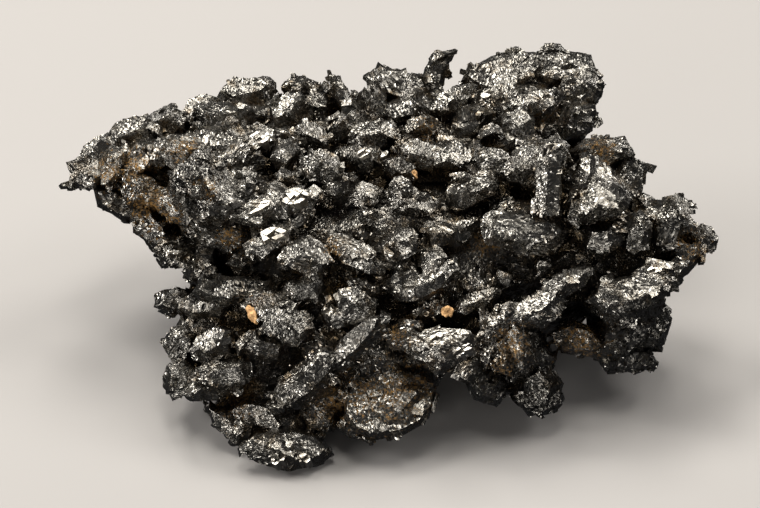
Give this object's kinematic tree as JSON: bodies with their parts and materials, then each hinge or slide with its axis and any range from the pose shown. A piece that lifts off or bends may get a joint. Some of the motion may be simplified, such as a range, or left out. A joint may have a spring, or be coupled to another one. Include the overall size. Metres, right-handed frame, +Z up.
{
  "type": "stephanite mineral specimen",
  "caption": "Hand specimen of stephanite: rounded tabular metallic crystals grown together in one mass on a flat broken base, with loose-set ochre grains.",
  "frame": {"origin": "under the middle of the specimen, on its flat resting face", "axes": "+X along the specimen's long way, +Y towards its high back crest, +Z up from the resting face"},
  "size_m": [0.066, 0.0414, 0.0271],
  "materials": {
    "stephanite": "iron-black metallic, granular, with bright crystal faces",
    "ochre": "matt ochre"
  },
  "bodies": {
    "root": {"stephanite_cluster": "stephanite", "ochre_grain": "ochre", "ochre_flake": "ochre", "ochre_speck": "ochre"}
  },
  "joints": []
}
